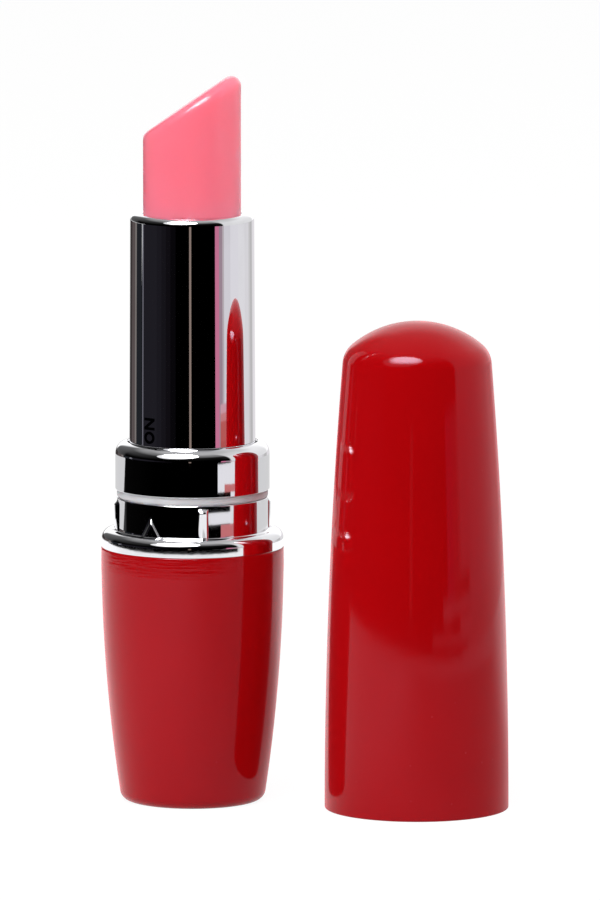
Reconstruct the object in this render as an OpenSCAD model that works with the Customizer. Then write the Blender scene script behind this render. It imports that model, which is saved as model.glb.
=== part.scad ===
// A lipstick-shaped, battery-powered massager: a base cup with a screw switch, a tube unit with a
// motor and a soft slanted tip, and a pull-off cap that stands beside them.
// Millimetres, +Z up. The origin is the centre of the base cup's flat foot.
// The radii chain outward from the cell, and the heights chain upward from the cup's floor, through
// the cell and the motor, to the tip and the cap.

/* [Cell] */
// Radius of the AAA cell
cell_r = 5.25; // [5:0.05:5.5]
// Length of the cell, with its nub
cell_l = 44.5; // [42:0.1:46]
// Radius of the cell's nub
nub_r = 1.9; // [1.6:0.1:2.2]
// Height of the cell's nub
nub_h = 1; // [0.8:0.1:1.3]
// Radius of the insulating ring on the cell's shoulder
insulator_r = 4.3; // [3.8:0.1:4.6]
// Thickness of the insulating ring
insulator_t = 0.3; // [0.2:0.05:0.5]
// Rounding of the can's ends
can_edge = 0.5; // [0.3:0.1:0.8]

/* [Fits] */
// Radial clearance of a thread or a shaft that turns in its bore
run_gap = 0.05; // [0.02:0.01:0.1]
// Radial clearance of pieces pushed together
fit_gap = 0.05; // [0.03:0.01:0.1]
// Clearance round the cell
cell_gap = 0.25; // [0.2:0.05:0.4]
// Clearance along the axis where one piece stops short of another
end_gap = 0.3; // [0.2:0.05:0.5]
// Clearance between the cap's bore and the grip ribs
cap_gap = 0.2; // [0.1:0.05:0.4]
// Gap between the tube's foot and the upper collar's bore
tube_gap = 0.08; // [0.05:0.01:0.15]

/* [Base cup] */
// Height of the cup
cup_h = 31.7; // [29:0.1:35]
// Wall of the cup
cup_wall = 1.5; // [1.2:0.1:1.7]
// Thickness of the cup's floor
cup_floor = 1.6; // [1.2:0.1:2.4]
// How far the cup's side draws in from its mouth to its foot
cup_draw = 2.45; // [1.5:0.05:3]
// Rounding round the cup's foot
cup_edge = 1.3; // [0.6:0.1:2]
// Step from the flange out to the cup's mouth
cup_step = 0.05; // [0:0.05:0.3]

/* [Lower collar] */
// Height of the flange
flange_h = 2.2; // [1.6:0.1:3]
// How far the flange stands out from the collar
flange_out = 1.9; // [1.4:0.1:2.4]
// Rounding of the flange's top edge
flange_edge = 1.1; // [0.4:0.1:1.4]
// Height of the collar above the flange
lower_h = 4.05; // [3.2:0.05:5]
// Wall of the collar round the thread
lower_wall = 1.4; // [1:0.1:1.8]
// How deep the collar's spigot plugs into the cup
spigot_l = 4; // [3:0.1:6]
// Number of grip ribs
rib_count = 4; // [2:1:8]
// Width of a grip rib
rib_w = 1.25; // [0.8:0.05:1.6]
// How far a rib stands out
rib_out = 0.32; // [0.2:0.02:0.6]
// How far a rib stops short of the collar's top
rib_short = 0.25; // [0:0.05:1]
// Angle of the first rib, from the front towards +X
rib_angle = 8.5; // [0:0.5:90]
// Height of the raised pointer
pointer_h = 2; // [1.4:0.1:3]
// Width of the raised pointer at its foot
pointer_w = 2.4; // [1.6:0.1:3.2]
// How far the pointer stands out
pointer_out = 0.3; // [0.2:0.05:0.5]
// Angle of the pointer, from the front towards +X
pointer_angle = -35.5; // [-60:0.5:-10]

/* [Seal ring] */
// Height of the seal ring
seal_h = 1; // [0.8:0.05:1.6]
// Rounding of the seal ring's outer edges
seal_edge = 0.3; // [0.1:0.05:0.4]

/* [Upper collar] */
// Height of the upper collar
upper_h = 5.9; // [4.8:0.05:7]
// Wall of the upper collar round the tube
upper_wall = 1.6; // [1.2:0.1:2]
// How far the upper collar flares towards its top
upper_flare = 0.04; // [0:0.02:0.4]
// Rounding of its top outer edge
upper_edge = 1.5; // [0.6:0.1:1.6]
// Rounding of its top inner edge, next to the tube
upper_lip = 0.2; // [0.1:0.05:0.2]
// Thickness of the ledge that the tube stands on
ledge_t = 0.55; // [0.4:0.05:0.8]

/* [Tube] */
// Wall of the tube at its mouth
tube_wall = 1.3; // [0.9:0.05:1.5]
// How much wider the tube is at its foot
tube_draft = 0.17; // [0:0.01:0.3]
// Height of the lip at the tube's mouth
lip_h = 1.2; // [0.8:0.1:1.6]
// How far the lip reaches in over the tip's flange
lip_in = 0.25; // [0.15:0.05:0.4]
// Rounding of the tube's mouth
tube_edge = 0.9; // [0.4:0.05:1]

/* [Tip] */
// Height of the slanted face above the tube, on the axis
tip_out = 13.9; // [12.5:0.1:16]
// Slant of the tip's face
tip_slant = 34.6; // [25:0.2:40]
// Rounding round the slanted face
tip_edge = 1.2; // [0.6:0.05:1.6]
// Angle that the slanted face is turned by, round the tube's axis
tip_turn = -7; // [-20:1:20]
// Height of the soft tip's flange
soft_flange_h = 1.7; // [1.2:0.1:2.4]
// Clearance round the soft tip
soft_gap = 0.05; // [0.03:0.01:0.1]
// Height of the core's flange
core_flange_h = 1.4; // [1:0.1:2]
// Wall of the core round the weight
core_wall = 0.5; // [0.4:0.05:0.8]
// Thickness of the core's closed end
core_top = 1.2; // [0.8:0.1:1.6]
// Wall of the soft tip round the core
soft_wall = 0.81; // [0.6:0.05:1]

/* [Cap] */
// Wall of the cap
cap_wall = 1.5; // [1.2:0.05:1.8]
// Room between the tip and the cap's inside, with the cap on
cap_room = 2.7; // [2:0.05:4]
// How far the cap's side draws in from its mouth to its shoulder
cap_draw = 2.24; // [1:0.02:2.4]
// Height of the domed end above the shoulder
cap_dome_h = 4.5; // [4:0.1:6]
// Radius of the domed end
cap_dome_r = 12.5; // [11:0.5:20]
// Rounding between the side and the dome
cap_edge = 3.2; // [0.8:0.1:4]
// Where the cap stands: to the right of the base
cap_x = 27.7; // [24:0.1:60]
// Where the cap stands: behind the base, so negative is nearer
cap_y = -6.4; // [-20:0.1:20]

/* [Screw switch and chassis] */
// Wall of the chassis round the cell
chassis_wall = 0.8; // [0.7:0.05:1.1]
// Wall of the screw skirt
skirt_wall = 1.25; // [1:0.05:1.6]
// How far the skirt reaches down into the lower collar
skirt_in = 4.45; // [3.4:0.05:6]
// Thickness of the partition between the cell and the motor
partition_t = 1.2; // [0.8:0.1:1.8]
// Wall of the sleeve round the cell
sleeve_wall = 0.65; // [0.5:0.05:0.9]
// Number of fins that centre the sleeve in the cup
fin_count = 4; // [3:1:8]
// Thickness of a fin
fin_t = 1.2; // [0.8:0.1:2]

/* [Contacts] */
// Thickness of the plates that touch the cell
plate_t = 0.3; // [0.2:0.05:0.5]
// Radius of the positive disc
positive_r = 4.2; // [3.8:0.1:4.8]
// Radius of the rivet's shank
rivet_r = 0.6; // [0.4:0.05:0.8]
// Distance from the axis to the rivet
rivet_off = 3; // [2.4:0.1:3]
// Thickness of the strip and the lead
strip_t = 0.15; // [0.1:0.05:0.25]
// Width of the strip and the lead
strip_w = 1.8; // [1:0.1:2.4]
// Thickness of the contact ring
ring_t = 0.3; // [0.2:0.05:0.4]
// Height of the contact ring
ring_h = 1.8; // [1:0.1:2.6]

/* [Spring] */
// Height of the conical spring with the unit screwed down
spring_h = 3.2; // [3:0.1:5]
// Radius of its wire
wire_r = 0.25; // [0.2:0.01:0.3]
// Radius of its wide end, at the wire's middle
spring_r1 = 4.6; // [4:0.1:4.9]
// Radius of its narrow end, at the wire's middle
spring_r2 = 2.2; // [1.6:0.1:2.4]
// Number of turns
spring_turns = 4.5; // [3:0.5:4.5]

/* [Motor] */
// Radius of the motor's can
motor_r = 5; // [4.6:0.1:5.1]
// Distance from the axis to the can's flats
motor_flat = 4; // [3.5:0.1:4.5]
// Length of the can
motor_l = 12.9; // [10:0.1:16]
// Length of its end bell
bell_l = 2.5; // [1.8:0.1:3.5]
// Clearance round the motor
motor_gap = 0.1; // [0.05:0.01:0.2]
// Radius of the bush in the can's end
bush_r = 1.5; // [1.2:0.1:2]
// Height of the bush
bush_h = 1; // [0.6:0.1:1.6]
// Radius of the shaft
shaft_r = 0.5; // [0.4:0.05:0.75]
// How deep the shaft reaches into the can
shaft_in = 6.8; // [4:0.1:9]
// How far the shaft stands past the weight
shaft_over = 0.3; // [0.2:0.1:0.6]
// Height of the pocket's rim above the can
rim_h = 2; // [1.4:0.1:3]
// Gap between the bush and the weight
weight_gap = 0.8; // [0.4:0.1:1.2]
// Length of the off-centre weight
weight_l = 6.6; // [4:0.1:8]
// Radial gap between the weight and the core
weight_clear = 0.5; // [0.3:0.05:0.8]
// Wall of the weight's hub round the shaft
hub_wall = 0.9; // [0.6:0.1:1.4]
// Length of a terminal tab
tab_l = 2.9; // [2:0.1:3.1]
// Thickness of a terminal tab
tab_t = 0.3; // [0.2:0.05:0.5]

/* [Hidden] */
$fn = 96;
ARC_FN = 1440; // facets of a full circle of a very large radius
BALL_FN = 24; // facets of the balls that round the tip's edge
TIP_STEPS = 48; // balls round the tip's edge
WIRE_SIDES = 8; // sides of the spring's wire
WIRE_STEPS = 24; // rings in each turn of the spring
OVER = 1; // how far a cutter runs past a face
SINK = 0.4; // how far a rib's root reaches into the wall that carries it
STRIP_ANGLE = 90; // the contacts rise at the back

// Radii, from the cell outward
bore_r = cell_r + cell_gap; // bore of the sleeve and of the chassis
sleeve_r = bore_r + sleeve_wall;
strip_r = sleeve_r + strip_t;
ring_r1 = strip_r + run_gap; // bore of the contact ring
ring_r2 = ring_r1 + ring_t;
skirt_r1 = ring_r2; // bore of the screw skirt
skirt_r2 = skirt_r1 + skirt_wall;
thread_r = skirt_r2 + run_gap; // bore of the lower collar
lower_r = thread_r + lower_wall;
rib_r = lower_r + rib_out;
flange_r = lower_r + flange_out;
cup_r = flange_r + cup_step;
chassis_r = bore_r + chassis_wall;
tube_bore_r = chassis_r + fit_gap;
tube_r = tube_bore_r + tube_wall;
tube_foot_r = tube_r + tube_draft;
mouth_r = tube_bore_r - lip_in;
tip_r = mouth_r - soft_gap;
soft_bore_r = tip_r - soft_wall;
core_r = soft_bore_r - soft_gap;
cavity_r = core_r - core_wall;
weight_r = cavity_r - weight_clear;
soft_flange_r = tube_bore_r - fit_gap;
collar_bore_r = tube_foot_r + tube_gap;
upper_r = collar_bore_r + upper_wall;
pocket_r = motor_r + motor_gap;
tab_r = motor_flat; // where a terminal tab ends
cap_r = rib_r + cap_gap + cap_wall;

// Heights, from the cup's floor up through the cell, the motor and the tip
plate_z = cup_floor;
spring_z = plate_z + plate_t;
cell_z = spring_z + spring_h;
nub_z = cell_z + cell_l;
can_top_z = nub_z - nub_h;
partition_z = nub_z + plate_t;
pocket_z = partition_z + partition_t;
bell_z = pocket_z + tab_t;
can_z = bell_z + bell_l;
bush_z = can_z + motor_l;
chassis_z = bush_z + rim_h; // top of the chassis
weight_z = bush_z + bush_h + weight_gap;
shaft_z = weight_z + weight_l + shaft_over; // top of the shaft
core_z = shaft_z + OVER + core_top; // top of the core
soft_z = chassis_z + core_flange_h + soft_gap; // foot of the soft tip
lip_z = soft_z + soft_flange_h + soft_gap;
tube_z = lip_z + lip_h; // top of the tube
face_z = tube_z + tip_out; // the slanted face, on the axis
peak_z = face_z + (tip_r - tip_edge) * tan(tip_slant) - tip_edge / cos(tip_slant) + tip_edge;

// Heights, from the cup's mouth up through the collars
flange_z = cup_h + flange_h; // top of the flange
lower_z = flange_z + lower_h; // top of the lower collar
seal_z = lower_z + seal_h; // top of the seal ring, and the chassis's shoulder
upper_z = seal_z + upper_h; // top of the upper collar
ledge_z = seal_z + ledge_t; // top of the ledge, where the tube stands
skirt_z = lower_z - skirt_in;
step_z = lower_z + end_gap; // the step inside the chassis, above the sleeve
sleeve_z = lower_z; // top of the sleeve
ring_z = step_z - ring_h;
spigot_z = cup_h - spigot_l;

// The cup's side is an arc, upright at the mouth
cup_arc = (cup_h * cup_h + cup_draw * cup_draw) / (2 * cup_draw);
cup_mid = [cup_r - cup_arc, cup_h];

// The cap's side is an arc too, upright at the mouth, and its end is a shallow dome
cap_h = peak_z - flange_z + cap_room + cap_wall;
shoulder_z = cap_h - cap_dome_h;
cap_arc = (shoulder_z * shoulder_z + cap_draw * cap_draw) / (2 * cap_draw);
cap_mid = [cap_r - cap_arc, 0];
dome_mid = [0, cap_h - cap_dome_r];

// Colours
RED = [0.62, 0.02, 0.05];
CHROME = [0.82, 0.83, 0.85];
PINK = [0.98, 0.47, 0.56];
SEAL = [0.78, 0.78, 0.8];
WHITE = [0.92, 0.92, 0.9];
BLACK = [0.08, 0.08, 0.09];
STEEL = [0.7, 0.71, 0.72];
BRASS = [0.8, 0.66, 0.35];
WRAP = [0.13, 0.2, 0.34];

// ---- Plain tools ----

// Radius at height z of a side that is an arc round mid
function side_r(mid, arc, z) = mid[0] + sqrt(arc * arc - (z - mid[1]) * (z - mid[1]));

// The upper of the two points where circles round a and b meet
function meet(a, ra, b, rb) =
    let (
        d = norm(b - a),
        u = (b - a) / d,
        k = (d * d + ra * ra - rb * rb) / (2 * d),
        h = sqrt(ra * ra - k * k)
    )
    a + k * u + h * [-u[1], u[0]];

// The point where a fillet centred on p touches the arc round mid
function touch(mid, arc, p) = mid + (p - mid) * arc / norm(p - mid);

// A flat ring or tube
module ring(r_in, r_out, z0, z1) {
    translate([0, 0, z0])
        difference() {
            cylinder(r = r_out, h = z1 - z0);
            translate([0, 0, -OVER])
                cylinder(r = r_in, h = z1 - z0 + 2 * OVER);
        }
}

// A disc
module disc(r, z0, z1) {
    translate([0, 0, z0])
        cylinder(r = r, h = z1 - z0);
}

// What a fillet of radius f takes off an outer corner at (r, z): up is 1 at a top, -1 at a foot
module corner_waste(r, z, f, up) {
    difference() {
        translate([r - f, up > 0 ? z - f : z - OVER])
            square(f + OVER);
        translate([r - f, z - up * f])
            circle(r = f);
    }
}

// A ring's half-section, with its outer corners rounded
module section(r_in, r_out, z0, z1, top = 0, foot = 0) {
    difference() {
        translate([r_in, z0])
            square([r_out - r_in, z1 - z0]);
        if (top > 0)
            corner_waste(r_out, z1, top, 1);
        if (foot > 0)
            corner_waste(r_out, z0, foot, -1);
    }
}

// Half the space inside an arc round mid, from z0 to z1
module inside_arc(mid, arc, z0, z1) {
    intersection() {
        translate(mid)
            circle(r = arc, $fn = ARC_FN);
        translate([0, z0])
            square([mid[0] + arc + OVER, z1 - z0]);
    }
}

// A flat strip set against a cylinder, standing at angle a: r0 to r1, z0 to z1
module strip(r0, r1, z0, z1, w, a) {
    rotate([0, 0, a])
        intersection() {
            ring(r0, r1, z0, z1);
            translate([0, -w / 2, z0])
                cube([r1 + OVER, w, z1 - z0]);
        }
}

// A bar lying along a radius at angle a
module bar(r0, r1, z0, z1, w, a) {
    rotate([0, 0, a])
        translate([r0, -w / 2, z0])
            cube([r1 - r0, w, z1 - z0]);
}

// ---- Cap ----

// Half-section of the cap's outside from height z0 up, thinned by t all round
module cap_profile(t, f, z0) {
    p = meet(cap_mid, cap_arc - t - f, dome_mid, cap_dome_r - t - f);
    side = touch(cap_mid, cap_arc - t, p);
    top = touch(dome_mid, cap_dome_r - t, p);
    difference() {
        intersection() {
            inside_arc(cap_mid, cap_arc - t, z0, cap_h);
            union() {
                translate(dome_mid)
                    circle(r = cap_dome_r - t, $fn = ARC_FN);
                translate([0, z0])
                    square([cap_r, p[1] - f - z0]);
            }
        }
        polygon([p, side, [side[0] + OVER, side[1]], [side[0] + OVER, top[1] + OVER],
                 [top[0], top[1] + OVER], top]);
    }
    translate(p)
        circle(r = f);
}

module cap_shell() {
    color(RED)
        translate([cap_x, cap_y, 0])
            rotate_extrude()
                difference() {
                    cap_profile(0, cap_edge, 0);
                    cap_profile(cap_wall, cap_edge, -OVER);
                }
}

// ---- Base ----

// Half-section of the cup's outside, thinned by t at the side
module cup_profile(t, z0, z1, f) {
    arc = cup_arc - t;
    p = [side_r(cup_mid, arc - f, z0 + f), z0 + f];
    side = touch(cup_mid, arc, p);
    difference() {
        inside_arc(cup_mid, arc, z0, z1);
        polygon([p, side, [side[0] + OVER, side[1]], [side[0] + OVER, z0 - OVER],
                 [p[0], z0 - OVER], [p[0], z0]]);
    }
    translate(p)
        circle(r = f);
}

module base_cup() {
    color(RED)
        rotate_extrude()
            difference() {
                cup_profile(0, 0, cup_h, cup_edge);
                cup_profile(cup_wall, cup_floor, cup_h + OVER, cup_edge / 2);
            }
}

// One grip rib, with a sloped top that leads the cap on
module rib() {
    rotate([90, 0, 0])
        translate([0, 0, -rib_w / 2])
            linear_extrude(height = rib_w)
                polygon([
                    [lower_r - SINK, flange_z],
                    [rib_r, flange_z],
                    [rib_r, lower_z - rib_short - rib_out],
                    [lower_r, lower_z - rib_short],
                    [lower_r - SINK, lower_z - rib_short]
                ]);
}

// The raised pointer, a triangle that points up, its face on a cylinder
module pointer() {
    intersection() {
        translate([lower_r - SINK, 0, flange_z])
            rotate([90, 0, 90])
                linear_extrude(height = SINK + pointer_out + OVER)
                    polygon([[-pointer_w / 2, 0], [pointer_w / 2, 0], [0, pointer_h]]);
        disc(lower_r + pointer_out, flange_z, lower_z);
    }
}

module lower_collar() {
    spigot_r = side_r(cup_mid, cup_arc - cup_wall - fit_gap, spigot_z);
    color(CHROME) {
        difference() {
            union() {
                rotate_extrude() {
                    section(thread_r, flange_r, cup_h, flange_z, flange_edge);
                    section(thread_r, lower_r, spigot_z + SINK, lower_z);
                    section(thread_r, spigot_r, spigot_z, cup_h + SINK, 0, SINK);
                }
                for (i = [0 : rib_count - 1])
                    rotate([0, 0, rib_angle - 90 + i * 360 / rib_count])
                        rib();
                rotate([0, 0, pointer_angle - 90])
                    pointer();
            }
            disc(thread_r, spigot_z - OVER, lower_z + OVER);
        }
    }
}

module battery_sleeve() {
    color(WHITE)
        difference() {
            union() {
                ring(bore_r, sleeve_r, cup_floor, sleeve_z);
                intersection() {
                    rotate_extrude()
                        cup_profile(cup_wall + fit_gap, cup_floor, spigot_z - end_gap, cup_edge);
                    for (i = [0 : fin_count - 1])
                        bar(bore_r + sleeve_wall / 2, cup_r, cup_floor, spigot_z, fin_t,
                            STRIP_ANGLE + (i + 0.5) * 360 / fin_count);
                }
            }
            bar(cell_r / 2, sleeve_r + OVER, cup_floor - OVER, spring_z, strip_w + 2 * fit_gap,
                STRIP_ANGLE);
        }
}

module negative_contact() {
    color(STEEL) {
        disc(bore_r - fit_gap, plate_z, spring_z);
        bar(cell_r / 2, sleeve_r, plate_z, spring_z, strip_w, STRIP_ANGLE);
        strip(sleeve_r, strip_r, plate_z, lower_z - end_gap, strip_w, STRIP_ANGLE);
    }
}

// A ring of points round the spring's wire, a share t of the way along it
function coil_r(t) = spring_r1 + (spring_r2 - spring_r1) * t;
function coil_ring(t, rise) =
    let (a = 360 * spring_turns * t)
    [for (k = [0 : WIRE_SIDES - 1])
        let (
            b = 360 * k / WIRE_SIDES,
            r = coil_r(t) + wire_r * cos(b)
        )
        [r * cos(a), r * sin(a), spring_z + wire_r + rise * t + wire_r * sin(b)]];

module negative_spring() {
    steps = round(spring_turns * WIRE_STEPS);
    rise = spring_h - 2 * wire_r;
    points = [for (i = [0 : steps]) each coil_ring(i / steps, rise)];
    sides = [
        for (i = [0 : steps - 1], k = [0 : WIRE_SIDES - 1])
            let (
                n = (k + 1) % WIRE_SIDES,
                low = i * WIRE_SIDES,
                high = low + WIRE_SIDES
            )
            each [[low + k, low + n, high + k], [low + n, high + n, high + k]]
    ];
    start = [for (k = [WIRE_SIDES - 1 : -1 : 0]) k];
    finish = [for (k = [0 : WIRE_SIDES - 1]) steps * WIRE_SIDES + k];
    color(STEEL)
        polyhedron(points, concat([start], sides, [finish]));
}

// ---- Cell ----

module battery_can() {
    color(WRAP)
        rotate_extrude()
            difference() {
                section(0, cell_r, cell_z, can_top_z, can_edge, can_edge);
                translate([-OVER, can_top_z - insulator_t])
                    square([insulator_r + fit_gap + OVER, insulator_t + OVER]);
            }
}

module battery_terminal() {
    color(STEEL)
        rotate_extrude()
            section(0, nub_r, can_top_z - insulator_t, nub_z, insulator_t);
}

module battery_insulator() {
    color(WHITE)
        ring(nub_r + fit_gap, insulator_r, can_top_z - insulator_t, can_top_z);
}

// ---- Tube unit ----

module seal_ring() {
    color(SEAL)
        rotate_extrude()
            section(thread_r, lower_r, lower_z, seal_z, seal_edge, seal_edge);
}

// A collar whose outside flares a little and rolls over at the top, with the tube's ledge inside
module upper_collar() {
    top_r = upper_r + upper_flare;
    roll_z = upper_z - upper_edge;
    color(CHROME)
        rotate_extrude()
            difference() {
                union() {
                    polygon([
                        [chassis_r + fit_gap, seal_z],
                        [upper_r, seal_z],
                        [top_r, roll_z],
                        [top_r - upper_edge, upper_z],
                        [chassis_r + fit_gap, upper_z]
                    ]);
                    intersection() {
                        translate([top_r - upper_edge, roll_z])
                            circle(r = upper_edge);
                        translate([top_r - upper_edge, roll_z])
                            square(upper_edge);
                    }
                }
                translate([0, ledge_z])
                    square([collar_bore_r, upper_h]);
                difference() {
                    translate([0, upper_z - upper_lip])
                        square([collar_bore_r + upper_lip, upper_lip + OVER]);
                    translate([collar_bore_r + upper_lip, upper_z - upper_lip])
                        circle(r = upper_lip);
                }
            }
}

module tube_sleeve() {
    color(CHROME)
        rotate_extrude()
            difference() {
                polygon([
                    [mouth_r, ledge_z],
                    [tube_foot_r, ledge_z],
                    [tube_r, tube_z - tube_edge],
                    [tube_r, tube_z],
                    [mouth_r, tube_z]
                ]);
                corner_waste(tube_r, tube_z, tube_edge, 1);
                translate([0, ledge_z - OVER])
                    square([tube_bore_r, lip_z - ledge_z + OVER]);
            }
}

// The motor's outline, grown by g: a circle with two flats
module motor_outline(g) {
    intersection() {
        circle(r = motor_r + g);
        square([2 * (motor_r + g + OVER), 2 * (motor_flat + g)], center = true);
    }
}

module chassis() {
    groove_r = chassis_r - 2 * strip_t;
    slot_w = strip_w + 2 * fit_gap;
    color(WHITE)
        difference() {
            union() {
                disc(skirt_r2, skirt_z, seal_z);
                disc(chassis_r, seal_z - OVER, chassis_z);
            }
            disc(skirt_r1, skirt_z - OVER, step_z);
            disc(bore_r, skirt_z, partition_z);
            translate([0, 0, pocket_z])
                linear_extrude(height = chassis_z - pocket_z)
                    motor_outline(motor_gap);
            disc(pocket_r, bush_z, chassis_z + OVER);
            translate([0, -rivet_off, partition_z - OVER])
                cylinder(r = rivet_r + fit_gap, h = partition_t + 2 * OVER);
            bar(groove_r, ring_r2, step_z - OVER, step_z + strip_t + fit_gap, slot_w, STRIP_ANGLE);
            bar(groove_r, chassis_r + fit_gap / 2, step_z - OVER, bell_z, slot_w, STRIP_ANGLE);
            bar(tab_r, chassis_r + OVER, pocket_z, bell_z + fit_gap, slot_w, STRIP_ANGLE);
        }
}

module contact_ring() {
    color(BRASS)
        ring(ring_r1, ring_r2, ring_z, step_z);
}

module negative_lead() {
    color(BRASS) {
        bar(chassis_r - 2 * strip_t + fit_gap, ring_r2, step_z, step_z + strip_t, strip_w, STRIP_ANGLE);
        bar(chassis_r - 2 * strip_t + fit_gap, chassis_r - strip_t + fit_gap, step_z, bell_z,
            strip_w, STRIP_ANGLE);
        bar(tab_r, chassis_r - strip_t + fit_gap, pocket_z, bell_z, strip_w, STRIP_ANGLE);
    }
}

module positive_contact() {
    color(BRASS)
        disc(positive_r, nub_z, partition_z);
}

module contact_rivet() {
    color(BRASS)
        translate([0, -rivet_off, partition_z])
            cylinder(r = rivet_r, h = partition_t);
}

// ---- Motor ----

module motor_can() {
    color(STEEL)
        difference() {
            translate([0, 0, can_z])
                linear_extrude(height = motor_l)
                    motor_outline(0);
            translate([0, 0, bush_z - shaft_in])
                cylinder(r = shaft_r + run_gap, h = shaft_in + OVER);
        }
}

module motor_end_bell() {
    color(BLACK)
        translate([0, 0, bell_z])
            linear_extrude(height = bell_l)
                motor_outline(0);
}

module motor_terminals() {
    color(BRASS)
        for (a = [STRIP_ANGLE, STRIP_ANGLE + 180])
            bar(tab_r - tab_l, tab_r, pocket_z, bell_z, strip_w, a);
}

module motor_bush() {
    color(BRASS)
        ring(shaft_r + run_gap, bush_r, bush_z, bush_z + bush_h);
}

module motor_shaft() {
    color(STEEL)
        disc(shaft_r, bush_z - shaft_in, shaft_z);
}

module eccentric_weight() {
    color(STEEL)
        difference() {
            union() {
                disc(shaft_r + hub_wall, weight_z, weight_z + weight_l);
                intersection() {
                    disc(weight_r, weight_z, weight_z + weight_l);
                    translate([-weight_r, 0, weight_z])
                        cube([2 * weight_r, weight_r, weight_l]);
                }
            }
            disc(shaft_r, weight_z - OVER, weight_z + weight_l + OVER);
        }
}

// ---- Tip ----

module tip_core() {
    color(WHITE)
        rotate_extrude()
            difference() {
                union() {
                    translate([0, chassis_z])
                        square([soft_flange_r, core_flange_h]);
                    section(0, core_r, chassis_z, core_z, core_top);
                }
                translate([-OVER, chassis_z - OVER])
                    square([cavity_r + OVER, core_z - core_top - chassis_z + OVER]);
            }
}

// The soft tip: a straight stem, and a slanted end whose edge is rounded all the way round
module soft_tip() {
    inner_r = tip_r - tip_edge;
    drop = tip_edge / cos(tip_slant);
    color(PINK)
        difference() {
            union() {
                disc(soft_flange_r, soft_z, soft_z + soft_flange_h);
                disc(tip_r, soft_z, tube_z);
                hull() {
                    disc(tip_r, lip_z, tube_z, $fn = TIP_STEPS);
                    for (i = [0 : TIP_STEPS - 1])
                        let (
                            a = (i + 0.5) * 360 / TIP_STEPS,
                            uphill = inner_r * cos(a - tip_turn)
                        )
                        translate([
                            inner_r * cos(a),
                            inner_r * sin(a),
                            face_z + uphill * tan(tip_slant) - drop
                        ])
                            sphere(r = tip_edge, $fn = BALL_FN);
                }
            }
            disc(soft_bore_r, soft_z - OVER, core_z + soft_gap);
        }
}

cap_shell();
base_cup();
lower_collar();
battery_sleeve();
negative_contact();
negative_spring();
battery_can();
battery_terminal();
battery_insulator();
seal_ring();
upper_collar();
tube_sleeve();
chassis();
contact_ring();
negative_lead();
positive_contact();
contact_rivet();
motor_can();
motor_end_bell();
motor_terminals();
motor_bush();
motor_shaft();
eccentric_weight();
tip_core();
soft_tip();
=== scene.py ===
"""Dresses the lipstick-shaped massager: red cup and cap, chrome collars and tube, soft pink tip."""

from math import asin, cos, hypot, pi, radians, sin, sqrt, tan, tau

import bmesh
import bpy
from bpy.props import FloatProperty, FloatVectorProperty, IntProperty, PointerProperty
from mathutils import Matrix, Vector


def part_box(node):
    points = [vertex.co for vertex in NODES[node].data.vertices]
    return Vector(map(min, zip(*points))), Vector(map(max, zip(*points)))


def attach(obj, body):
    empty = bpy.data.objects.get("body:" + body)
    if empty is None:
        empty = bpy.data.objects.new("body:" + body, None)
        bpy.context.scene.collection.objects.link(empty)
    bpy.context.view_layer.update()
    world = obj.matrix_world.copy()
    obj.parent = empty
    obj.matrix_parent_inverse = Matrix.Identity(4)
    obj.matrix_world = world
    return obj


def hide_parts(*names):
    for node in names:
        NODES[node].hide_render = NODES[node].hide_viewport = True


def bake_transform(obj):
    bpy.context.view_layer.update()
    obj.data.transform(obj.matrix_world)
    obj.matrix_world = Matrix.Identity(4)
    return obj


bl_info = {
    "name": "Lipstick-shaped massager",
    "version": (1, 0, 0),
    "blender": (4, 5, 0),
    "location": "3D View > Sidebar > Massager",
    "description": "Builds the visible pieces of a lipstick-shaped massager round its frame",
    "category": "Object",
}

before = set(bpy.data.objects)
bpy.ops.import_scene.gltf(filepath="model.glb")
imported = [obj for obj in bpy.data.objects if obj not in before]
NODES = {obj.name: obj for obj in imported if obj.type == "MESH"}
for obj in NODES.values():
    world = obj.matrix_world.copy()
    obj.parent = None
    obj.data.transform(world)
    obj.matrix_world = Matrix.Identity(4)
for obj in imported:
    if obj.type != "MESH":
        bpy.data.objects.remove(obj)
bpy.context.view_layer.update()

MM = 0.001
HOLD = 0.02 * MM  # a short face beside each rounding keeps the flat next to it flat in the shading
PLAY = 0.05 * MM  # the gap between two pieces that fit together
EASE = 0.1 * MM  # the usual rounding of an edge that shows little
RUN_OUT = 0.5 * MM  # the height over which a screw's ridge fades at each end
FRONT = -pi / 2  # the angle of the side that faces the viewer


# ---- Places read from the frame ----


def low(node):
    """Height of a node's lowest point."""
    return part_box(node)[0].z


def high(node):
    """Height of a node's highest point."""
    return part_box(node)[1].z


def reach(node):
    """Radius of a round node."""
    near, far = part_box(node)
    return (far.x - near.x) / 2


def middle(node, height=0):
    """A point on a node's axis, at a height."""
    near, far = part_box(node)
    return Vector(((near.x + far.x) / 2, (near.y + far.y) / 2, height))


# ---- Sizes and colours that a user would change ----


def length(name, description, millimetres):
    """A length property, given in millimetres."""
    return FloatProperty(
        name=name, description=description, default=millimetres * MM, unit="LENGTH", precision=5
    )


def angle(name, description, value):
    """An angle property, given in degrees."""
    return FloatProperty(
        name=name, description=description, default=radians(value), subtype="ANGLE", unit="ROTATION"
    )


def amount(name, description, value, most=1):
    """A property without a unit, from 0 up."""
    return FloatProperty(name=name, description=description, default=value, min=0, max=most)


def whole(name, description, value, least):
    """A property that is a whole number."""
    return IntProperty(name=name, description=description, default=value, min=least)


def linear(value):
    """A screen value from 0 to 255 as linear light from 0 to 1."""
    value = value / 255
    return value / 12.92 if value <= 0.04045 else ((value + 0.055) / 1.055) ** 2.4


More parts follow.
